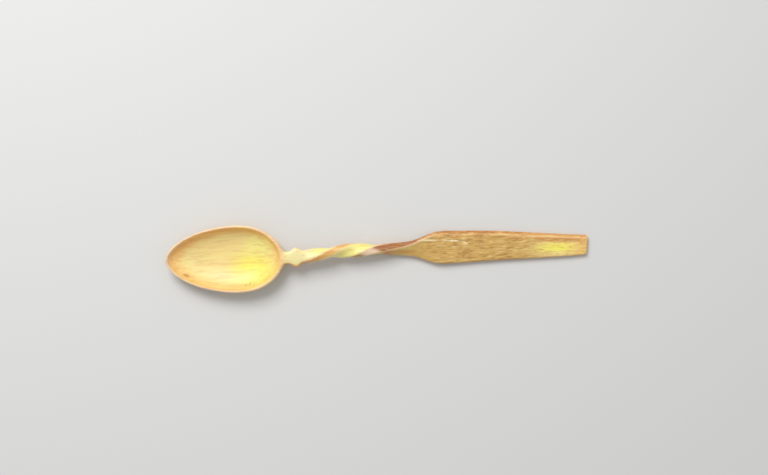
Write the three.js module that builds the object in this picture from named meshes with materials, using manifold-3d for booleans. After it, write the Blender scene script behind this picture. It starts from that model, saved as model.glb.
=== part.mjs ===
// A long spoon of pale horn, lying bowl up: a pointed egg-shaped bowl, a waisted
// neck with a small pointed shoulder on each side, a flat bar stem twisted once
// round, and a thin flat handle that tapers to a square-cut butt.
//
// Millimetres, +Z up. Every place along the spoon is a distance from the tip of
// the bowl. The spoon runs along +X from the tip to the butt and lies at rest, so
// the belly of the bowl and the underside of the handle share one plane.
import * as THREE from "three";
import { mergeVertices } from "three/addons/utils/BufferGeometryUtils.js";
import Module from "manifold-3d";

const { smoothstep, lerp, degToRad } = THREE.MathUtils;

// Bowl, in plan
const bowlWidth = 30.4;
const bowlWidestAt = 32.2;
const bowlBackAt = 53.4;
const tipFullness = { along: 1.85, across: 1.81 };
const backFullness = { along: 2.2, across: 1.81 };
const rimWidth = 1.15;
const hollowBackAt = 51.6;

// Bowl, from the side
const bowlDepth = 8.2;
const bowlFloor = 1.15;
const rimAtTip = 7.5;
const lipHeight = 0.7;
const lipRadius = 0.5;
const keelFullness = { along: 2.0, across: 1.9 };
const keelRampFullness = { along: 2.0, across: 1.3 };
const hollowFullness = { along: 2.3, across: 1.9 };
const bellyRoundness = 2.2;

// Neck: the waist behind the bowl and the pointed shoulder
const waistAt = 54.8;
const waistWidth = 5.8;
const shoulderAt = 58.8;
const shoulderWidth = 9.1;
const shoulderRise = 3.9;
const shoulderFall = 3.3;
const shoulderPoint = 1.35;
const shoulderLean = -2.7;
const neckEndsAt = shoulderAt + shoulderFall;

// Twisted stem: a flat bar, and the places where each quarter turn is complete
const stemWidth = 6.1;
const stemThickness = 4.2;
const stemSquareness = 3.8;
const quarterTurnsAt = [59.3, 73.9, 84.0, 94.4, 126.0];
const quarterTurn = -90;

// Handle: its shoulder, its widest place, its taper and its butt
const handleShoulderAt = 107.5;
const handleWidestAt = 124.0;
const handleWidth = 14.9;
const handleThickness = 3.1;
const handleSquareness = 6.0;
const handleTaperCurve = 1.35;
const buttWidth = 8.8;
const buttThickness = 2.6;
const buttSlant = 6.0;
const buttCornerRadius = 0.9;
const buttEdgeRadius = 0.5;
const buttSlantReach = 9.0;
const spoonLength = 190.0;

// How the spoon sways sideways and sinks to the table along its length
const neckSway = -0.85;
const stemSway = 1.5;
const handleSway = 1.25;
const handleSwayUntil = 142.0;
const neckLineHeight = 6.5;
const stemMiddleHeight = 6.2;
const stemEndHeight = 4.5;
const handleShoulderHeight = 3.0;
const handleLiesFlatFrom = 138.0;
const restingFlat = 0.1;

// Fineness of the facets
const pointsPerQuarter = 6;
const stepsToBowlWidest = 16;
const stepsToWaist = 14;
const stepsOnNeck = 12;
const stepsOnStem = 38;
const stepsOnHandle = 24;
const stepsOnButt = 4;
const pointsRoundHollow = 56;
const ringsInHollow = 9;
const hollowClearance = 3.0;

// A smooth line through a few stations [place, value] that never overshoots them.
function smoothThrough(stations) {
  const gaps = stations.slice(1).map(([x], i) => x - stations[i][0]);
  const rises = stations.slice(1).map(([, y], i) => (y - stations[i][1]) / gaps[i]);
  const slopes = stations.map((station, i) => {
    if (i === 0 || i === stations.length - 1) return 0;
    const before = rises[i - 1];
    const after = rises[i];
    return before * after <= 0 ? 0 : (2 * before * after) / (before + after);
  });
  return (x) => {
    if (x <= stations[0][0]) return stations[0][1];
    const found = stations.findIndex(([place]) => place >= x);
    if (found < 0) return stations[stations.length - 1][1];
    const i = found - 1;
    const u = (x - stations[i][0]) / gaps[i];
    const bend = gaps[i] * u * (1 - u) * ((1 - u) * slopes[i] - u * slopes[i + 1]);
    return lerp(stations[i][1], stations[i + 1][1], smoothstep(u, 0, 1)) + bend;
  };
}

// The larger of two sizes, with a round corner where they cross.
function filletedMax(a, b) {
  return Math.cbrt(a ** 3 + b ** 3);
}

// A quarter of an oval that is 1 at its middle and 0 at its end.
function oval(share, fullness) {
  return Math.max(0, 1 - share ** fullness.along) ** (1 / fullness.across);
}

function barThickness(x) {
  const stemToHandle = smoothstep(x, quarterTurnsAt[3], quarterTurnsAt[4]);
  const handleToButt = smoothstep(x, handleWidestAt, spoonLength);
  const blade = lerp(handleThickness, buttThickness, handleToButt);
  return lerp(stemThickness, blade, stemToHandle);
}

// The pointed shoulder of the neck, from 0 beside it to 1 at its point.
function shoulderShare(x) {
  const reach = x < shoulderAt ? shoulderRise : shoulderFall;
  const away = Math.min(1, Math.abs(x - shoulderAt) / reach);
  return ((1 + Math.cos(Math.PI * away)) / 2) ** shoulderPoint;
}

function barWidth(x) {
  const neck = lerp(waistWidth, stemWidth, smoothstep(x, waistAt, quarterTurnsAt[1]));
  const shoulder = (shoulderWidth - neck) * shoulderShare(x);
  const swell = smoothstep(x, handleShoulderAt, handleWidestAt);
  const along = Math.max(0, (x - handleWidestAt) / (spoonLength - handleWidestAt));
  const blade = lerp(handleWidth, buttWidth, along ** handleTaperCurve);
  return lerp(neck + shoulder, blade, swell);
}

function bowlHalfWidth(x) {
  if (x < bowlWidestAt) {
    return (bowlWidth / 2) * oval((bowlWidestAt - x) / bowlWidestAt, tipFullness);
  }
  const back = Math.min(1, (x - bowlWidestAt) / (bowlBackAt - bowlWidestAt));
  const neck = (barWidth(x) / 2) * smoothstep(x, bowlWidestAt, bowlBackAt);
  return filletedMax((bowlWidth / 2) * oval(back, backFullness), neck);
}

// From the rim down to the keel, the lowest line under the bowl.
function bowlHeight(x) {
  if (x < bowlWidestAt) {
    return bowlDepth * oval((bowlWidestAt - x) / bowlWidestAt, keelFullness);
  }
  const back = (x - bowlWidestAt) / (waistAt - bowlWidestAt);
  const neck = barThickness(x) * smoothstep(x, bowlWidestAt, waistAt);
  return filletedMax(bowlDepth * oval(back, keelRampFullness), neck);
}

const rimTop = smoothThrough([
  [0, rimAtTip],
  [bowlWidestAt, bowlDepth - restingFlat],
  [waistAt, neckLineHeight + barThickness(waistAt) / 2],
]);

const stemLine = smoothThrough([
  [waistAt, neckLineHeight],
  [quarterTurnsAt[1], stemMiddleHeight],
  [quarterTurnsAt[3], stemEndHeight],
  [handleShoulderAt, handleShoulderHeight],
  [handleLiesFlatFrom, barThickness(handleLiesFlatFrom) / 2 - restingFlat],
]);

const sway = smoothThrough([
  [waistAt, neckSway],
  [quarterTurnsAt[2], stemSway],
  [handleWidestAt, handleSway],
  [handleSwayUntil, handleSway],
  [spoonLength, 0],
]);

const roll = smoothThrough(quarterTurnsAt.map((place, turns) => [place, turns * quarterTurn]));

const lean = smoothThrough([
  [shoulderAt - shoulderRise, 0],
  [shoulderAt, shoulderLean],
  [neckEndsAt, 0],
  [spoonLength - buttSlantReach, 0],
  [spoonLength, buttSlant],
]);

// The bowl's outer section: a rounded lip above its widest level, a belly below.
function bowlSection(x) {
  const towardNeck = smoothstep(x, hollowBackAt - rimWidth * 4, waistAt);
  const height = bowlHeight(x);
  const rise = Math.min(height / 2, lerp(lipHeight, barThickness(x) / 2, towardNeck));
  const half = bowlHalfWidth(x);
  const lipSquareness = Math.max(2, half / lipRadius);
  return {
    half,
    rise,
    drop: height - rise,
    acrossTop: lerp(lipSquareness, stemSquareness, towardNeck),
    upTop: lerp(2, stemSquareness, towardNeck),
    below: lerp(bellyRoundness, stemSquareness, towardNeck),
    middle: new THREE.Vector2((neckSway * x) / waistAt, rimTop(x) - rise),
  };
}

// How far the butt's rounded corners and edges have drawn in, a step from its end.
function buttEasing(x, radius) {
  const past = THREE.MathUtils.clamp(1 - (spoonLength - x) / radius, 0, 1);
  return radius * (1 - Math.sqrt(1 - past ** 2));
}

// The section of the neck, stem and handle: a flat bar with soft arrises.
function barSection(x) {
  const halfThickness = barThickness(x) / 2;
  const squareness = lerp(
    stemSquareness,
    handleSquareness,
    smoothstep(x, quarterTurnsAt[3], quarterTurnsAt[4]),
  );
  const lying = halfThickness - restingFlat;
  const height = x < handleLiesFlatFrom ? stemLine(x) : lying;
  return {
    half: barWidth(x) / 2 - buttEasing(x, buttCornerRadius),
    rise: halfThickness - buttEasing(x, buttEdgeRadius),
    drop: halfThickness,
    acrossTop: squareness,
    upTop: squareness,
    below: squareness,
    middle: new THREE.Vector2(sway(x), height),
  };
}

// One closed ring of points round the spoon, in a plane across it.
function ringAt(x) {
  const section = x < waistAt ? bowlSection(x) : barSection(x);
  const turn = degToRad(roll(x));
  const slant = Math.tan(degToRad(lean(x)));
  const count = pointsPerQuarter * 4;
  return Array.from({ length: count }, (unused, i) => {
    const angle = (i / count) * 2 * Math.PI;
    const isTop = i < count / 2;
    const cos = Math.cos(angle);
    const sin = Math.abs(Math.sin(angle));
    const across = isTop ? section.acrossTop : section.below;
    const up = isTop ? section.upTop : section.below;
    const spread = Math.sign(cos) * section.half * Math.abs(cos) ** (2 / across);
    const tall = isTop ? section.rise : -section.drop;
    const point = new THREE.Vector2(spread, tall * sin ** (2 / up));
    point.rotateAround(new THREE.Vector2(0, 0), turn);
    const z = Math.max(0, section.middle.y + point.y);
    return new THREE.Vector3(x + point.x * slant, section.middle.x + point.x, z);
  });
}

// A closed body through rings of equal count, with a flat fan over each end.
function loftThrough(rings) {
  const count = rings[0].length;
  const middleOf = (ring) => {
    const sum = ring.reduce((total, point) => total.add(point), new THREE.Vector3());
    return sum.divideScalar(count);
  };
  const points = [...rings.flat(), middleOf(rings[0]), middleOf(rings[rings.length - 1])];
  const firstMiddle = points.length - 2;
  const lastMiddle = points.length - 1;
  const lastRing = (rings.length - 1) * count;
  const faces = [];
  for (let i = 0; i < count; i += 1) {
    const next = (i + 1) % count;
    faces.push(firstMiddle, next, i);
    faces.push(lastMiddle, lastRing + i, lastRing + next);
    for (let ring = 0; ring < lastRing; ring += count) {
      faces.push(ring + i, ring + next, ring + count + i);
      faces.push(ring + next, ring + count + next, ring + count + i);
    }
  }
  return closedGeometry(points, faces);
}

// Points and faces as a geometry, with doubled points merged and empty faces left out.
function closedGeometry(points, faces) {
  const doubled = new THREE.BufferGeometry().setFromPoints(points).setIndex(faces);
  const merged = mergeVertices(doubled, 1e-5);
  const index = merged.index.array;
  const kept = [];
  for (let i = 0; i < index.length; i += 3) {
    const [a, b, c] = index.slice(i, i + 3);
    if (a !== b && b !== c && c !== a) kept.push(a, b, c);
  }
  return merged.setIndex(kept);
}

// Places from one end of a stretch to the other, both included.
function evenly(from, to, steps) {
  return Array.from({ length: steps + 1 }, (unused, i) => lerp(from, to, i / steps));
}

// The same, crowded toward the start, as a round end needs.
function crowdedAtStart(from, to, steps) {
  return evenly(0, 1, steps).map((u) => lerp(to, from, Math.cos((u * Math.PI) / 2)));
}

function crowdedAtEnd(from, to, steps) {
  return evenly(0, 1, steps).map((u) => lerp(from, to, Math.sin((u * Math.PI) / 2)));
}

function barBetween(from, to, steps) {
  return loftThrough(evenly(from, to, steps).map(ringAt));
}

// The outside of the bowl as a solid that is still full inside.
function bowlBlank() {
  const front = crowdedAtStart(0, bowlWidestAt, stepsToBowlWidest);
  const back = crowdedAtEnd(bowlWidestAt, waistAt, stepsToWaist).slice(1);
  return loftThrough([...front, ...back].map(ringAt));
}

// The hollow of the bowl: rings of the inner rim's outline that sink to one point,
// closed above the rim.
function hollowOfBowl() {
  const middleY = (neckSway * bowlWidestAt) / waistAt;
  const front = bowlWidestAt - rimWidth;
  const back = hollowBackAt - bowlWidestAt;
  const half = bowlWidth / 2 - rimWidth;
  const depth = bowlDepth - bowlFloor;
  const rimPoint = (share, i) => {
    const angle = (i / pointsRoundHollow) * 2 * Math.PI;
    const isBack = Math.cos(angle) > 0;
    const fullness = isBack ? backFullness : tipFullness;
    const reach = isBack ? back : -front;
    const along = share * reach * Math.abs(Math.cos(angle)) ** (2 / fullness.along);
    const side = Math.sign(Math.sin(angle)) * half;
    const out = share * side * Math.abs(Math.sin(angle)) ** (2 / fullness.across);
    const x = bowlWidestAt + along;
    return new THREE.Vector3(x, middleY + (neckSway * along) / waistAt + out, rimTop(x));
  };
  const ring = (share) => {
    const outline = Array.from({ length: pointsRoundHollow }, (unused, i) => rimPoint(share, i));
    outline.forEach((point) => {
      point.z -= depth * oval(share, hollowFullness);
    });
    return outline;
  };
  const shares = evenly(0, 1, ringsInHollow).map((u) => Math.sin((u * Math.PI) / 2));
  const sunk = shares.map(ring);
  const overRim = ring(1).map((point) => point.setZ(point.z + hollowClearance));
  return loftThrough([...sunk, overRim]);
}

const wasm = await Module();
wasm.setup();

function toSolid(geometry) {
  const vertProperties = new Float32Array(geometry.attributes.position.array);
  const triVerts = new Uint32Array(geometry.index.array);
  return new wasm.Manifold(new wasm.Mesh({ numProp: 3, vertProperties, triVerts }));
}

function toGeometry(solid) {
  const { vertProperties, triVerts } = solid.getMesh();
  const geometry = new THREE.BufferGeometry();
  geometry.setAttribute("position", new THREE.BufferAttribute(vertProperties, 3));
  return geometry.setIndex(new THREE.BufferAttribute(triVerts, 1));
}

function bowlShape() {
  return toGeometry(toSolid(bowlBlank()).subtract(toSolid(hollowOfBowl())));
}

function neckShape() {
  return barBetween(waistAt, neckEndsAt, stepsOnNeck);
}

function twistedStemShape() {
  return barBetween(neckEndsAt, handleShoulderAt, stepsOnStem);
}

function handleShape() {
  const butt = spoonLength - buttCornerRadius;
  const blade = evenly(handleShoulderAt, butt, stepsOnHandle);
  const end = crowdedAtEnd(butt, spoonLength, stepsOnButt).slice(1);
  return loftThrough([...blade, ...end].map(ringAt));
}

// Polished horn, in the tone that each stretch of the spoon has.
function hornMaterial(color, roughness) {
  return new THREE.MeshStandardMaterial({ color, roughness, metalness: 0 });
}

function piece(name, geometry, material) {
  geometry.computeVertexNormals();
  const mesh = new THREE.Mesh(geometry, material);
  mesh.name = name;
  return mesh;
}

const spoon = new THREE.Group();
spoon.add(piece("bowl", bowlShape(), hornMaterial("#f5de8c", 0.32)));
spoon.add(piece("neck", neckShape(), hornMaterial("#efe1a5", 0.36)));
spoon.add(piece("twisted_stem", twistedStemShape(), hornMaterial("#eccb84", 0.38)));
spoon.add(piece("handle", handleShape(), hornMaterial("#cfa85f", 0.5)));

// The origin is under the middle of the spoon, on the plane that it lies on.
const bounds = new THREE.Box3().setFromObject(spoon);
const centre = bounds.getCenter(new THREE.Vector3());
spoon.position.set(-centre.x, -centre.y, -bounds.min.z);

export default spoon;
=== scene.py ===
"""A long spoon of pale horn, lying bowl up, seen from straight above.

The spoon is one piece of horn. Its four solid stretches are joined to one
unbroken skin, which is softened as wear softens it and tinted by where each
point of it lies. Places run in millimetres from the tip of the bowl, and sides
in millimetres from the middle towards the upper edge.
"""

import logging
import math
from dataclasses import dataclass, field
from enum import Enum

import bpy
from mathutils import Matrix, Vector


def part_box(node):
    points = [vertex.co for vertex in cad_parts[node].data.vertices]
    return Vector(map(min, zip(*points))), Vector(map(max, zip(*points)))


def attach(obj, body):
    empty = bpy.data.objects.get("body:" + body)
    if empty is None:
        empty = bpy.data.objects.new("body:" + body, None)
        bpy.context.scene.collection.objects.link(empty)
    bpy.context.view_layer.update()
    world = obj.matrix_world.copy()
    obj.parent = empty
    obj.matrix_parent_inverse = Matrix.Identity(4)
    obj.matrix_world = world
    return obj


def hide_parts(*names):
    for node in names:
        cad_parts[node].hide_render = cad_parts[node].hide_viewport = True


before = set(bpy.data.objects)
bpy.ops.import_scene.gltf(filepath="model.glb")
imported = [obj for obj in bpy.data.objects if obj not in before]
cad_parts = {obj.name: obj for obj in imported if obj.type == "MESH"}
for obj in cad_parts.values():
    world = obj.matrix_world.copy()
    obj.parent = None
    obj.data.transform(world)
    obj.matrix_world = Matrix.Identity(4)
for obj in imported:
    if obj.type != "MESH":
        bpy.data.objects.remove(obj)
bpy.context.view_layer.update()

MM = 0.001
LOG = logging.getLogger("spoon")
Tree = bpy.types.NodeTree
Socket = bpy.types.NodeSocket

# The numbers of a colour mix node's inputs and of its output.
MIX_SHARE = 0
MIX_UNDER = 6
MIX_OVER = 7
MIX_RESULT = 2


class Tone(Enum):
    """The tones of the horn and of the table, as sRGB hex values."""

    STRAW = "f7de94"
    LEMON = "faee66"
    PALE_LEMON = "f9f092"
    CREAM = "f2e4a6"
    # Pale pink painted highlight on the bowl's rim and round the butt.
    RIM = "f1cfaa"
    # Orange of the bowl's wall, laid on more thickly on the upper wall as painted shade.
    WALL_ORANGE = "f0b062"
    BROWN = "a7663c"
    TAN = "e0a05a"
    GOLD = "bd8c42"
    # Painted highlight where the bar's second side faces straight up.
    PINK_CREAM = "f8d9bc"
    # Painted highlight on the bar's arrises.
    ARRIS = "f4cba4"
    # Painted highlight along the handle's ridge.
    RIDGE = "f2c486"
    ROOT = "dcc06a"
    MUSTARD = "d4ab5e"
    OLIVE = "a87838"
    FLECK = "ecd28c"
    GRAIN = "d6a45c"
    ORANGE = "c9843e"
    AMBER = "d39a52"
    BUTT = "f4c878"
    DARK = "6d4522"
    RED_BROWN = "b8653c"
    SCRATCH = "fdf0c4"
    TABLE = "dcdcda"


def srgb(tone: Tone) -> tuple[float, float, float, float]:
    """Turns a tone's sRGB hex value into a linear colour.

    Args:
        tone: The tone to turn.

    Returns:
        Linear red, green, blue and an alpha of 1.
    """
    parts = [int(tone.value[i : i + 2], 16) / 255 for i in (0, 2, 4)]
    linear = [c / 12.92 if c <= 0.04045 else ((c + 0.055) / 1.055) ** 2.4 for c in parts]
    return (*linear, 1.0)


def add_node(tree: Tree, kind: str, settings: dict, inputs: dict) -> bpy.types.Node:
    """Adds a node with its settings and links.

    Args:
        tree: The node tree.
        kind: The node's type name.
        settings: The node's own settings, by name.
        inputs: Input numbers or names, each to a socket that feeds it, a tone or a value.

    Returns:
        The new node.
    """
    node = tree.nodes.new(kind)
    for name, value in settings.items():
        setattr(node, name, value)
    for key, value in inputs.items():
        if isinstance(value, Socket):
            tree.links.new(value, node.inputs[key])
        elif isinstance(value, Tone):
            node.inputs[key].default_value = srgb(value)
        else:
            node.inputs[key].default_value = value
    return node


@dataclass(frozen=True)
class Ease:
    """A smooth change from 0 at one value to 1 at another."""

    start: float
    end: float

    def of(self, value: float) -> float:
        """Returns how far the change has come at a value, from 0 to 1."""
        u = min(1.0, max(0.0, (value - self.start) / (self.end - self.start)))
        return u * u * (3 - 2 * u)

    def inputs(self, value: Socket) -> dict:
        """Returns the inputs of a range node that makes the same change."""
        return {"Value": value, "From Min": self.start, "From Max": self.end}


@dataclass(frozen=True)
class Strip:
    """A strip with soft edges: 1 between them and 0 outside."""

    near: Ease
    far: Ease

    def of(self, value: float) -> float:
        """Returns the strip's strength at a value, from 0 to 1."""
        return self.near.of(value) * (1 - self.far.of(value))


@dataclass(frozen=True)
class Mark:
    """One soft oval mark in the horn: a stain, fleck, scratch or translucent patch.

    Its length and width are from the middle to the edge, and its turn is in degrees.
    """

    tone: Tone
    place: float
    side: float
    length: float
    width: float
    strength: float
    turn: float = 0.0


MARKS = (
    # Translucent patches in the bowl. The first lies on the lower wall, which faces the lamp, and
    # is also a painted pool of light.
    Mark(Tone.LEMON, 38.5, -4.5, 15.0, 11.0, 0.95),
    Mark(Tone.PALE_LEMON, 41.0, 5.5, 10.0, 6.5, 0.75),
    Mark(Tone.CREAM, 13.0, 1.0, 9.0, 6.0, 0.35),
    # Three nicks and a stain on the bowl's lower wall, and two flecks on the neck.
    Mark(Tone.DARK, 35.6, -11.9, 0.9, 0.35, 0.55, 40.0),
    Mark(Tone.DARK, 37.4, -11.5, 1.2, 0.35, 0.6, 70.0),
    Mark(Tone.DARK, 39.2, -11.8, 0.9, 0.3, 0.5, 40.0),
    Mark(Tone.RED_BROWN, 9.0, -6.6, 2.4, 0.9, 0.65, -28.0),
    Mark(Tone.DARK, 54.1, 0.4, 0.5, 0.3, 0.5),
    Mark(Tone.DARK, 62.3, 0.6, 0.4, 0.25, 0.45),
    # Brown streaks and the translucent patch of the handle.
    Mark(Tone.ORANGE, 108.0, 0.4, 8.0, 1.6, 0.6),
    Mark(Tone.LEMON, 176.0, -0.2, 14.0, 3.6, 0.95),
    Mark(Tone.BUTT, 188.0, -1.0, 6.0, 5.0, 0.6),
    Mark(Tone.ORANGE, 177.0, 3.2, 14.0, 1.5, 0.8, -1.5),
    Mark(Tone.ORANGE, 151.0, -5.2, 11.0, 1.2, 0.6, 3.0),
    Mark(Tone.DARK, 169.0, -0.9, 2.6, 0.4, 0.5, -6.0),
    # A nick near the butt, and one long curved scratch in three lengths.
    Mark(Tone.SCRATCH, 183.0, 1.6, 1.6, 0.2, 0.8, 68.0),
    Mark(Tone.SCRATCH, 118.5, 5.2, 6.5, 0.6, 1.0, -1.0),
    Mark(Tone.SCRATCH, 128.5, 4.7, 6.5, 0.6, 1.0, -6.0),
    Mark(Tone.SCRATCH, 134.6, 3.6, 2.6, 0.5, 0.95, -26.0),
)

# A mark's edge, as shares of its length and width.
MARK_EDGE = Ease(1.0, 0.15)

# The horn's ground tone along the spoon, from the tip to the butt.
GROUND = (
    (0.0, Tone.STRAW),
    (50.0, Tone.STRAW),
    (56.0, Tone.CREAM),
    (62.0, Tone.CREAM),
    (72.0, Tone.PALE_LEMON),
    (93.0, Tone.PALE_LEMON),
    (99.0, Tone.ORANGE),
    (107.0, Tone.ROOT),
    (114.0, Tone.MUSTARD),
    (162.0, Tone.MUSTARD),
    (176.0, Tone.STRAW),
    (188.0, Tone.BUTT),
)

# The side of the bar that comes up second, from the stem's middle to the butt. Its pink-cream
# stretch, where it faces straight up, is a painted highlight.
SECOND_SIDE = (
    (80.0, Tone.GOLD),
    (86.0, Tone.GOLD),
    (90.0, Tone.PINK_CREAM),
    (97.0, Tone.PINK_CREAM),
    (101.0, Tone.BROWN),
    (122.0, Tone.BROWN),
    (136.0, Tone.ORANGE),
    (160.0, Tone.ORANGE),
    (184.0, Tone.TAN),
)


@dataclass(frozen=True)
class HornFinish:
    """Horn plate, scraped, pressed and twisted hot, then polished and worn.

    Horn is keratin in long fibres. It lets light in a little way, shows fine
    streaks along its length and takes a low sheen, which is duller on the
    handle, where it is scuffed. Each pair of values is the bowl's and the
    handle's, and sizes are in millimetres. The fibres are drawn coarser than
    real ones, so that they show.
    """

    length: float
    tip: float
    handle_starts: Ease = Ease(100.0, 125.0)
    butt_starts: Ease = Ease(156.0, 170.0)
    fibre_width: tuple[float, float] = (1.3, 0.8)
    fibre_run: tuple[float, float] = (20.0, 4.0)
    fibre_turn: float = 3.0
    fibre_detail: float = 4.0
    fibre_fineness: float = 0.62
    fibre_waviness: float = 0.35
    dark_fibre: Ease = Ease(0.52, 0.36)
    pale_fibre: Ease = Ease(0.52, 0.68)
    streaks: tuple[float, float] = (0.3, 0.75)
    butt_streaks: float = 0.35
    second_side_slant: float = 2.2
    roughness: tuple[float, float] = (0.36, 0.56)
    grooves: tuple[float, float] = (0.25, 0.7)
    groove_depth: float = 0.16
    ior: float = 1.54
    glow: float = 0.2
    glow_tint: tuple[float, float, float] = (1.0, 0.6, 0.25)
    glow_depth: float = 1.6

    def build(self) -> bpy.types.Material:
        """Makes the horn material.

        Returns:
            The material.
        """
        material = bpy.data.materials.new("polished_horn")
        material.use_nodes = True
        tree = material.node_tree
        coords = add_node(tree, "ShaderNodeTexCoord", {}, {}).outputs["Object"]
        place, slanted = self._places(tree, coords)
        on_handle = add_node(
            tree,
            "ShaderNodeMapRange",
            {"interpolation_type": "SMOOTHSTEP"},
            self.handle_starts.inputs(place),
        ).outputs[0]
        second_side = self._along(tree, slanted, SECOND_SIDE)
        colour = self._worked_edges(tree, self._along(tree, place, GROUND), second_side)
        for mark in MARKS:
            colour = self._marked(tree, colour, coords, mark)
        fibres = self._fibres(tree, coords, on_handle)
        rough_horn = self._rough_horn(tree, place, on_handle)
        self._shade(tree, self._streaked(tree, colour, fibres, rough_horn), fibres, on_handle)
        return material

    def _shade(self, tree: Tree, colour: Socket, fibres: Socket, on_handle: Socket) -> None:
        """Gives the shader its colour, sheen, grooves and glow.

        Args:
            tree: The material's node tree.
            colour: The finished colour.
            fibres: The fibres' height.
            on_handle: 0 in the bowl and 1 on the handle.
        """
        shader = tree.nodes["Principled BSDF"]
        sheen, relief = (
            add_node(
                tree,
                "ShaderNodeMapRange",
                {},
                {"Value": on_handle, "To Min": in_bowl, "To Max": in_hand},
            ).outputs[0]
            for in_bowl, in_hand in (self.roughness, self.grooves)
        )
        bump = add_node(
            tree,
            "ShaderNodeBump",
            {},
            {"Distance": self.groove_depth * MM, "Strength": relief, "Height": fibres},
        )
        tree.links.new(colour, shader.inputs["Base Color"])
        tree.links.new(sheen, shader.inputs["Roughness"])
        tree.links.new(bump.outputs[0], shader.inputs["Normal"])
        shader.inputs["IOR"].default_value = self.ior
        shader.inputs["Subsurface Weight"].default_value = self.glow
        shader.inputs["Subsurface Radius"].default_value = self.glow_tint
        shader.inputs["Subsurface Scale"].default_value = self.glow_depth * MM

    def _places(self, tree: Tree, coords: Socket) -> tuple[Socket, Socket]:
        """Gives the place along the spoon, and one that runs on towards the upper edge.

        Args:
            tree: The material's node tree.
            coords: The point's own coordinates.

        Returns:
            The distance from the tip in millimetres, plain and slanted.
        """
        split = add_node(tree, "ShaderNodeSeparateXYZ", {}, {0: coords})
        place = add_node(
            tree,
            "ShaderNodeMath",
            {"operation": "MULTIPLY_ADD"},
            {0: split.outputs[0], 1: 1 / MM, 2: self.tip},
        ).outputs[0]
        slanted = add_node(
            tree,
            "ShaderNodeMath",
            {"operation": "MULTIPLY_ADD"},
            {0: split.outputs[1], 1: self.second_side_slant / MM, 2: place},
        ).outputs[0]
        return place, slanted

    def _along(self, tree: Tree, place: Socket, tones: tuple[tuple[float, Tone], ...]) -> Socket:
        """Gives the tone that the horn has at each place along the spoon.

        Args:
            tree: The material's node tree.
            place: The place along the spoon.
            tones: Places and the tones there, from the tip on.

        Returns:
            The colour's socket.
        """
        share = add_node(
            tree, "ShaderNodeMath", {"operation": "DIVIDE"}, {0: place, 1: self.length}
        )
        ramp = add_node(tree, "ShaderNodeValToRGB", {}, {0: share.outputs[0]})
        stops = ramp.color_ramp.elements
        while len(stops) < len(tones):
            stops.new(0.5)
        for stop, (at, tone) in zip(stops, tones):
            stop.position = at / self.length
            stop.color = srgb(tone)
        return ramp.outputs[0]

    def _worked_edges(self, tree: Tree, ground: Socket, second_side: Socket) -> Socket:
        """Tints the bowl's wall, the underside and the bar's sides, and paints shade on the upper
        wall and highlights on the rims, the ridge and the arrises.

        Args:
            tree: The material's node tree.
            ground: The ground colour.
            second_side: The colour of the side that comes up second.

        Returns:
            The tinted colour.
        """
        layers = {
            "under": Tone.AMBER,
            # The wall's orange is partly painted shade, stronger on the upper wall.
            "wall_tone_and_shade": Tone.WALL_ORANGE,
            # Painted highlight along the bowl's rim.
            "rim_highlight": Tone.RIM,
            "first_side": Tone.TAN,
            "below_ridge": Tone.ORANGE,
            # Its pink-cream stretch is a painted highlight.
            "second_side": second_side,
            # Painted highlight along the handle's ridge.
            "ridge_highlight": Tone.RIDGE,
            # Painted highlight round the butt's rim.
            "butt_rim_highlight": Tone.RIM,
            # Painted highlight on the bar's arrises.
            "arris_highlight": Tone.ARRIS,
        }
        colour = ground
        for name, tone in layers.items():
            share = add_node(tree, "ShaderNodeAttribute", {"attribute_name": name}, {})
            colour = add_node(
                tree,
                "ShaderNodeMix",
                {"data_type": "RGBA"},
                {MIX_SHARE: share.outputs["Fac"], MIX_UNDER: colour, MIX_OVER: tone},
            ).outputs[MIX_RESULT]
        return colour

    def _marked(self, tree: Tree, colour: Socket, coords: Socket, mark: Mark) -> Socket:
        """Lays one soft oval mark over a colour.

        Args:
            tree: The material's node tree.
            colour: The colour under the mark.
            coords: The point's own coordinates.
            mark: The mark to lay.

        Returns:
            The marked colour.
        """
        centre = ((mark.place - self.tip) * MM, mark.side * MM, 0.0)
        size = (1 / (mark.length * MM), 1 / (mark.width * MM), 0.0)
        moved = add_node(
            tree, "ShaderNodeVectorMath", {"operation": "SUBTRACT"}, {0: coords, 1: centre}
        )
        turned = add_node(
            tree,
            "ShaderNodeMapping",
            {},
            {
                "Vector": moved.outputs[0],
                "Rotation": (0.0, 0.0, -math.radians(mark.turn)),
                "Scale": (1.0, 1.0, 0.0),
            },
        )
        oval = add_node(
            tree, "ShaderNodeVectorMath", {"operation": "MULTIPLY"}, {0: turned.outputs[0], 1: size}
        )
        reach = add_node(
            tree, "ShaderNodeVectorMath", {"operation": "LENGTH"}, {0: oval.outputs[0]}
        )
        share = add_node(
            tree,
            "ShaderNodeMapRange",
            {"interpolation_type": "SMOOTHSTEP"},
            {**MARK_EDGE.inputs(reach.outputs["Value"]), "To Max": mark.strength},
        )
        return add_node(
            tree,
            "ShaderNodeMix",
            {"data_type": "RGBA"},
            {MIX_SHARE: share.outputs[0], MIX_UNDER: colour, MIX_OVER: mark.tone},
        ).outputs[MIX_RESULT]

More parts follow.
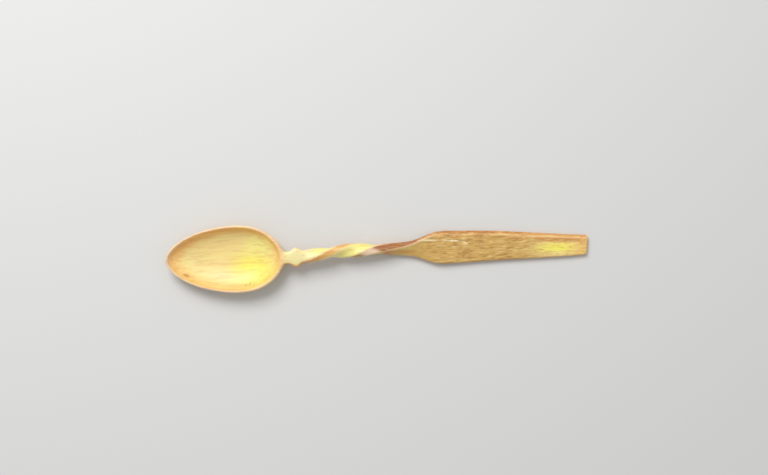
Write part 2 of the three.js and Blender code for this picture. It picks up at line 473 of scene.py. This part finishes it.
    def _fibres(self, tree: Tree, coords: Socket, on_handle: Socket) -> Socket:
        """Gives streaks along the spoon, long and broad in the bowl, short on the handle.

        Args:
            tree: The material's node tree.
            coords: The point's own coordinates.
            on_handle: 0 in the bowl and 1 on the handle.

        Returns:
            The fibres' height, from 0 to 1.
        """
        streaks = []
        for width, run in zip(self.fibre_width, self.fibre_run):
            across = 1 / (width * MM)
            stretched = add_node(
                tree,
                "ShaderNodeMapping",
                {},
                {
                    "Vector": coords,
                    "Rotation": (0.0, 0.0, math.radians(self.fibre_turn)),
                    "Scale": (1 / (run * MM), across, across),
                },
            )
            noise = add_node(
                tree,
                "ShaderNodeTexNoise",
                {},
                {
                    "Vector": stretched.outputs[0],
                    "Scale": 1.0,
                    "Detail": self.fibre_detail,
                    "Roughness": self.fibre_fineness,
                    "Distortion": self.fibre_waviness,
                },
            )
            streaks.append(noise.outputs[0])
        in_bowl, in_hand = streaks
        blend = add_node(
            tree, "ShaderNodeMix", {"data_type": "FLOAT"}, {0: on_handle, 2: in_bowl, 3: in_hand}
        )
        return blend.outputs[0]

    def _rough_horn(self, tree: Tree, place: Socket, on_handle: Socket) -> Socket:
        """Gives how rough the horn is: most on the handle, less again at its smooth butt.

        Args:
            tree: The material's node tree.
            place: The distance from the tip in millimetres.
            on_handle: 0 in the bowl and 1 on the handle.

        Returns:
            The roughness, from 0 to 1.
        """
        before_butt = add_node(
            tree,
            "ShaderNodeMapRange",
            {"interpolation_type": "SMOOTHSTEP"},
            {**self.butt_starts.inputs(place), "To Min": 1.0, "To Max": self.butt_streaks},
        )
        rough = add_node(
            tree,
            "ShaderNodeMath",
            {"operation": "MULTIPLY"},
            {0: on_handle, 1: before_butt.outputs[0]},
        )
        return rough.outputs[0]

    def _streaked(self, tree: Tree, colour: Socket, fibres: Socket, rough_horn: Socket) -> Socket:
        """Darkens and lightens a colour along the fibres, more where the horn is rough.

        Args:
            tree: The material's node tree.
            colour: The colour to streak.
            fibres: The fibres' height.
            rough_horn: How rough the horn is, from 0 to 1.

        Returns:
            The streaked colour.
        """
        in_bowl, in_hand = self.streaks
        strength = add_node(
            tree,
            "ShaderNodeMapRange",
            {},
            {"Value": rough_horn, "To Min": in_bowl, "To Max": in_hand},
        )
        for fibre, smooth_tone, rough_tone in (
            (self.dark_fibre, Tone.GRAIN, Tone.OLIVE),
            (self.pale_fibre, Tone.PALE_LEMON, Tone.FLECK),
        ):
            tone = add_node(
                tree,
                "ShaderNodeMix",
                {"data_type": "RGBA"},
                {MIX_SHARE: rough_horn, MIX_UNDER: smooth_tone, MIX_OVER: rough_tone},
            )
            depth = add_node(
                tree,
                "ShaderNodeMapRange",
                {"interpolation_type": "SMOOTHSTEP"},
                fibre.inputs(fibres),
            )
            share = add_node(
                tree,
                "ShaderNodeMath",
                {"operation": "MULTIPLY"},
                {0: depth.outputs[0], 1: strength.outputs[0]},
            )
            colour = add_node(
                tree,
                "ShaderNodeMix",
                {"data_type": "RGBA"},
                {
                    MIX_SHARE: share.outputs[0],
                    MIX_UNDER: colour,
                    MIX_OVER: tone.outputs[MIX_RESULT],
                },
            ).outputs[MIX_RESULT]
        return colour


@dataclass(frozen=True)
class Bowl:
    """The bowl's plan, as the solid bowl has it, for its wall's tone and painted shade and its
    rim's painted highlight.

    Its rim and wall are shares of the way out to its edge. The upper wall, which faces away from
    the lamp, is tinted more than the lower one, as painted shade.
    """

    widest_at: float = 32.2
    back_at: float = 53.4
    half_width: float = 15.2
    fullness_along: float = 1.95
    fullness_across: float = 1.81
    ends: Ease = Ease(50.5, 54.5)
    rim_highlight: Ease = Ease(0.92, 0.96)
    rim_highlight_strength: float = 0.9
    wall_tone_and_shade: Ease = Ease(0.72, 0.94)
    shaded_upper_wall: Ease = Ease(-6.0, 8.0)
    lower_wall_strength: float = 0.5
    upper_wall_shade: float = 0.35

    def radius(self, place: float, side: float) -> float:
        """Works out how far out a point lies.

        Args:
            place: Distance from the tip.
            side: Distance from the middle.

        Returns:
            0 at the middle, 1 on the edge and more outside it.
        """
        reach = self.widest_at if place < self.widest_at else self.back_at - self.widest_at
        along = abs(place - self.widest_at) / reach
        across = abs(side) / self.half_width
        return math.sqrt(along**self.fullness_along + across**self.fullness_across)

    def shares(self, place: float, side: float, up: float) -> dict[str, float]:
        """Works out the shares of the wall's tone and painted shade and of the rim's painted
        highlight at a point.

        Args:
            place: Distance from the tip.
            side: Distance from the middle.
            up: How far the surface faces up.

        Returns:
            A value from 0 to 1 for each share.
        """
        here = 1 - self.ends.of(place)
        radius = self.radius(place, side)
        # The upper wall's extra share of orange is painted shade.
        strength = self.lower_wall_strength + self.upper_wall_shade * self.shaded_upper_wall.of(side)
        return {
            "wall_tone_and_shade": self.wall_tone_and_shade.of(radius) * strength * here * up,
            # The rim's share is a painted highlight.
            "rim_highlight": self.rim_highlight.of(radius) * here * self.rim_highlight_strength,
        }


@dataclass(frozen=True)
class TwistedBar:
    """The flat bar and its quarter turns, for the tones of its sides and the painted highlights on
    its arrises.
    """

    quarter_turns_at: tuple[float, ...] = (59.3, 73.9, 84.0, 94.4, 126.0)
    starts: Ease = Ease(60.0, 63.0)
    first_side: Ease = Ease(0.8, 0.94)
    first_side_strength: float = 0.85
    second_side: Ease = Ease(0.68, 0.88)
    arris_highlight: Strip = Strip(Ease(0.3, 0.6), Ease(0.68, 0.88))
    arris_highlight_strength: float = 0.8
    neck: Strip = Strip(Ease(50.0, 54.0), Ease(64.0, 70.0))
    neck_facet: Ease = Ease(0.25, 0.6)
    neck_facet_strength: float = 0.9

    def roll(self, place: float) -> float:
        """Works out how far the bar has turned.

        Args:
            place: Distance from the tip.

        Returns:
            The angle in radians, which falls from 0 as the bar turns left-handed.
        """
        stations = self.quarter_turns_at
        for turns in range(len(stations) - 1):
            low, high = stations[turns], stations[turns + 1]
            if place < high:
                share = max(0.0, (place - low) / (high - low))
                return -math.pi / 2 * (turns + share)
        return -2 * math.pi

    def shares(self, place: float, normal: Vector, up: float) -> dict[str, float]:
        """Works out the shares of the two sides and of the arrises' painted highlight at a point.

        Args:
            place: Distance from the tip.
            normal: The surface's direction.
            up: How far the surface faces up.

        Returns:
            A value from 0 to 1 for each share.
        """
        here = self.starts.of(place)
        roll = self.roll(place)
        sideways = normal.y * math.cos(roll) + normal.z * math.sin(roll)
        first = self.first_side.of(-sideways) * here * self.first_side_strength
        facet = self.neck_facet.of(-normal.y) * self.neck.of(place) * self.neck_facet_strength
        return {
            "first_side": max(first, facet),
            "second_side": self.second_side.of(sideways) * here,
            # The arrises' share is a painted highlight on faces that look up.
            "arris_highlight": self.arris_highlight.of(abs(sideways)) * here * up * self.arris_highlight_strength,
        }


@dataclass(frozen=True)
class Handle:
    """The handle's worked upper edge and its butt.

    The band, the ridge's painted highlight and what lies below it are strips along the upper edge,
    by distance in from it, and the butt rim's painted highlight is by distance from the butt.
    """

    starts: Ease = Ease(116.0, 126.0)
    butt_starts: Ease = Ease(158.0, 170.0)
    band: Ease = Ease(0.9, 1.4)
    ridge_highlight: Strip = Strip(Ease(1.0, 1.4), Ease(1.8, 2.4))
    ridge_highlight_strength: float = 0.75
    below_ridge: Strip = Strip(Ease(1.6, 2.2), Ease(2.4, 4.2))
    below_ridge_strength: float = 0.3
    below_ridge_extra: float = 0.5
    butt_rim_highlight: Ease = Ease(0.4, 1.2)
    butt_rim_highlight_strength: float = 0.8
    bevel_starts: Ease = Ease(108.0, 128.0)
    bevel_facing: Ease = Ease(0.0, 0.4)
    bevel_width: float = 1.4
    bevel_drop: float = 0.8

    def planed(self, place: float, inward: float, upward: float) -> float:
        """Works out how much the bevel takes off at a point.

        Args:
            place: Distance from the tip.
            inward: Distance from the upper edge.
            upward: How far the surface's direction points up.

        Returns:
            The height to take off in millimetres.
        """
        reach = self.bevel_starts.of(place) * self.bevel_facing.of(upward)
        return max(0.0, 1 - inward / self.bevel_width) * self.bevel_drop * reach

    def shares(self, place: float, inward: float, from_end: float, up: float) -> dict[str, float]:
        """Works out the shares of the upper edge's band, the ridge's painted highlight and the butt
        rim's painted highlight.

        Args:
            place: Distance from the tip.
            inward: Distance from the upper edge.
            from_end: Distance from the butt.
            up: How far the surface faces up.

        Returns:
            A value from 0 to 1 for each share.
        """
        here = self.starts.of(place)
        near_butt = self.butt_starts.of(place)
        below = self.below_ridge_strength + self.below_ridge_extra * near_butt
        return {
            "band": (1 - self.band.of(inward)) * up * here,
            # The ridge's share is a painted highlight.
            "ridge_highlight": self.ridge_highlight.of(inward) * up * here * self.ridge_highlight_strength,
            "below_ridge": self.below_ridge.of(inward) * up * here * below,
            # The butt rim's share is a painted highlight.
            "butt_rim_highlight": (1 - self.butt_rim_highlight.of(from_end)) * self.butt_rim_highlight_strength,
        }


@dataclass
class SpoonSkin:
    """The whole spoon as one unbroken surface of horn.

    Its grain is the spacing of the surface's points, and its weld the distance
    within which points are merged, both in millimetres.
    """

    bowl: Bowl = field(default_factory=Bowl)
    bar: TwistedBar = field(default_factory=TwistedBar)
    handle: Handle = field(default_factory=Handle)
    grain: float = 0.35
    softening: int = 8
    weld: float = 0.01
    facing_up: Ease = Ease(-0.1, 0.15)
    under_strength: float = 0.8
    square_to_length: float = 0.99

    def build(self) -> bpy.types.Object:
        """Makes the skin's mesh and its shares.

        Returns:
            The skin's object.
        """
        skin = self._joined_stretches()
        self._open_ends(skin)
        self._refine(skin)
        self._bevel_handle(skin)
        self._share_out(skin)
        return skin

    def dress(self, skin: bpy.types.Object) -> None:
        """Gives the skin its finish and its place in the part.

        Args:
            skin: The skin's object.
        """
        tip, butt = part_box("bowl")[0][0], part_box("handle")[1][0]
        finish = HornFinish(length=(butt - tip) / MM, tip=-tip / MM)
        skin.data.materials.clear()
        skin.data.materials.append(finish.build())
        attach(skin, "root")
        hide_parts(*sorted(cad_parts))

    def _joined_stretches(self) -> bpy.types.Object:
        """Joins a copy of every stretch of the spoon into one object.

        Returns:
            The joined object.
        """
        bpy.ops.object.select_all(action="DESELECT")
        copies = []
        for name in sorted(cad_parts):
            copy = bpy.data.objects.new(name + "_copy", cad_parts[name].data.copy())
            bpy.context.scene.collection.objects.link(copy)
            copy.select_set(True)
            copies.append(copy)
        bpy.context.view_layer.objects.active = copies[0]
        bpy.ops.object.join()
        copies[0].name = "horn_spoon"
        return copies[0]

    def _open_ends(self, skin: bpy.types.Object) -> None:
        """Takes out the flat ends inside the horn and welds the stretches.

        Args:
            skin: The skin's object.
        """
        planes = [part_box(name)[1][0] for name in ("bowl", "neck", "twisted_stem")]
        bpy.ops.object.mode_set(mode="EDIT")
        bpy.ops.mesh.select_all(action="SELECT")
        bpy.ops.mesh.remove_doubles(threshold=self.weld * MM)
        bpy.ops.mesh.select_all(action="DESELECT")
        bpy.ops.object.mode_set(mode="OBJECT")
        for face in skin.data.polygons:
            on_plane = any(abs(face.center.x - x) < self.weld * MM for x in planes)
            face.select = on_plane and abs(face.normal.x) > self.square_to_length
        bpy.ops.object.mode_set(mode="EDIT")
        bpy.ops.mesh.select_mode(type="FACE")
        bpy.ops.mesh.delete(type="FACE")
        bpy.ops.object.mode_set(mode="OBJECT")

    def _refine(self, skin: bpy.types.Object) -> None:
        """Makes the surface fine and even, and softens its edges as wear does.

        Args:
            skin: The skin's object.
        """
        remesh = skin.modifiers.new("even", "REMESH")
        remesh.mode = "VOXEL"
        remesh.voxel_size = self.grain * MM
        bpy.ops.object.modifier_apply(modifier=remesh.name)
        smooth = skin.modifiers.new("wear", "SMOOTH")
        smooth.iterations = self.softening
        bpy.ops.object.modifier_apply(modifier=smooth.name)
        bpy.ops.object.shade_smooth()

    def _upper_edge(self, mesh: bpy.types.Mesh, tip: float) -> dict[int, float]:
        """Finds how far the upper edge lies from the middle at each millimetre.

        Args:
            mesh: The skin's mesh.
            tip: Where the tip is, in metres.

        Returns:
            The edge's side in millimetres for each whole place.
        """
        edge: dict[int, float] = {}
        for vertex in mesh.vertices:
            place = round((vertex.co.x - tip) / MM)
            edge[place] = max(edge.get(place, -math.inf), vertex.co.y / MM)
        return edge

    def _bevel_handle(self, skin: bpy.types.Object) -> None:
        """Planes a narrow bevel along the upper edge of the handle.

        Args:
            skin: The skin's object.
        """
        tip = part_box("bowl")[0][0]
        edge = self._upper_edge(skin.data, tip)
        points = []
        for vertex in skin.data.vertices:
            place = (vertex.co.x - tip) / MM
            inward = edge[round(place)] - vertex.co.y / MM
            planed = self.handle.planed(place, inward, vertex.normal.z)
            points.extend((vertex.co.x, vertex.co.y, vertex.co.z - planed * MM))
        skin.data.vertices.foreach_set("co", points)
        skin.data.update()

    def _share_out(self, skin: bpy.types.Object) -> None:
        """Writes each point's shares of the worked edges' tones, painted shade and painted
        highlights.

        Args:
            skin: The skin's object.
        """
        mesh = skin.data
        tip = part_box("bowl")[0][0]
        butt = (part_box("handle")[1][0] - tip) / MM
        edge = self._upper_edge(mesh, tip)
        points = []
        for vertex in mesh.vertices:
            place = (vertex.co.x - tip) / MM
            side = vertex.co.y / MM
            inward = edge[round(place)] - side
            points.append(self._shares_at(place, side, inward, butt - place, vertex.normal))
        # Each layer is filled before the next is added, because adding one moves the others.
        for name in points[0]:
            layer = mesh.attributes.new(name, "FLOAT", "POINT")
            layer.data.foreach_set("value", [point[name] for point in points])

    def _shares_at(
        self, place: float, side: float, inward: float, from_end: float, normal: Vector
    ) -> dict[str, float]:
        """Works out the shares at a point.

        Args:
            place: Distance from the tip in millimetres.
            side: Distance from the middle, towards the upper edge.
            inward: Distance from the upper edge.
            from_end: Distance from the butt.
            normal: The surface's direction there.

        Returns:
            A value from 0 to 1 for each share.
        """
        up = self.facing_up.of(normal.z)
        shares = {"under": (1 - up) * self.under_strength}
        shares.update(self.bowl.shares(place, side, up))
        shares.update(self.bar.shares(place, normal, up))
        shares.update(self.handle.shares(place, inward, from_end, up))
        shares["second_side"] = max(shares["second_side"], shares.pop("band"))
        # The arrises' painted highlight is left off the handle.
        shares["arris_highlight"] *= 1 - self.handle.starts.of(place)
        return shares


@dataclass
class Table:
    """The plain pale surface under the spoon: board with a matt coat of paint."""

    size: float = 3.0
    roughness: float = 0.9
    sheen: float = 0.1

    def build(self) -> None:
        """Lays the table under the spoon."""
        bpy.ops.object.select_all(action="DESELECT")
        bpy.ops.mesh.primitive_plane_add(size=self.size, location=(0, 0, 0))
        table = bpy.context.object
        table.name = "table"
        # Matt paint scatters light evenly, so the table shows its tone and soft shadows only.
        material = bpy.data.materials.new("matt_painted_board")
        material.use_nodes = True
        shader = material.node_tree.nodes["Principled BSDF"]
        shader.inputs["Base Color"].default_value = srgb(Tone.TABLE)
        shader.inputs["Roughness"].default_value = self.roughness
        shader.inputs["Specular IOR Level"].default_value = self.sheen
        table.data.materials.append(material)


@dataclass
class Studio:
    """Soft light from above the upper edge, and an even white surround.

    The key's power is in watts, and its size and place are in metres.
    """

    key_power: float = 5.2
    key_size: float = 0.45
    key_at: tuple[float, float, float] = (-0.25, 0.5, 0.65)
    surround: float = 0.5

    def build(self) -> None:
        """Sets the lamp and the surround."""
        lamp = bpy.data.lights.new("key", "AREA")
        lamp.energy = self.key_power
        lamp.size = self.key_size
        holder = bpy.data.objects.new("key", lamp)
        holder.location = self.key_at
        holder.rotation_euler = (-Vector(self.key_at)).to_track_quat("-Z", "Y").to_euler()
        bpy.context.scene.collection.objects.link(holder)
        world = bpy.data.worlds.new("surround")
        world.use_nodes = True
        background = world.node_tree.nodes["Background"]
        background.inputs["Color"].default_value = (1, 1, 1, 1)
        background.inputs["Strength"].default_value = self.surround
        bpy.context.scene.world = world
        bpy.context.scene.view_settings.view_transform = "Standard"


@dataclass
class OverheadCamera:
    """A camera straight above, turned as the photograph is.

    Its height, the width it takes in and the point that it is over are in
    metres, its sensor is in millimetres and its turn in degrees.
    """

    height: float = 0.5
    frame_width: float = 0.3483
    sensor: float = 36.0
    over: tuple[float, float] = (0.0032, 0.0072)
    turn: float = -2.16

    def build(self) -> None:
        """Sets the camera."""
        data = bpy.data.cameras.new("overhead")
        data.sensor_width = self.sensor
        data.lens = self.sensor * self.height / self.frame_width
        holder = bpy.data.objects.new("overhead", data)
        holder.location = (*self.over, self.height)
        holder.rotation_euler = (0, 0, math.radians(self.turn))
        bpy.context.scene.collection.objects.link(holder)
        bpy.context.scene.camera = holder


def main() -> None:
    """Builds the camera, the light, the table and the spoon."""
    logging.basicConfig(level=logging.INFO, format="%(name)s: %(message)s")
    OverheadCamera().build()
    Studio().build()
    Table().build()
    spoon = SpoonSkin()
    skin = spoon.build()
    spoon.dress(skin)
    LOG.info("%s: %d faces", skin.name, len(skin.data.polygons))


if __name__ == "__main__":
    main()
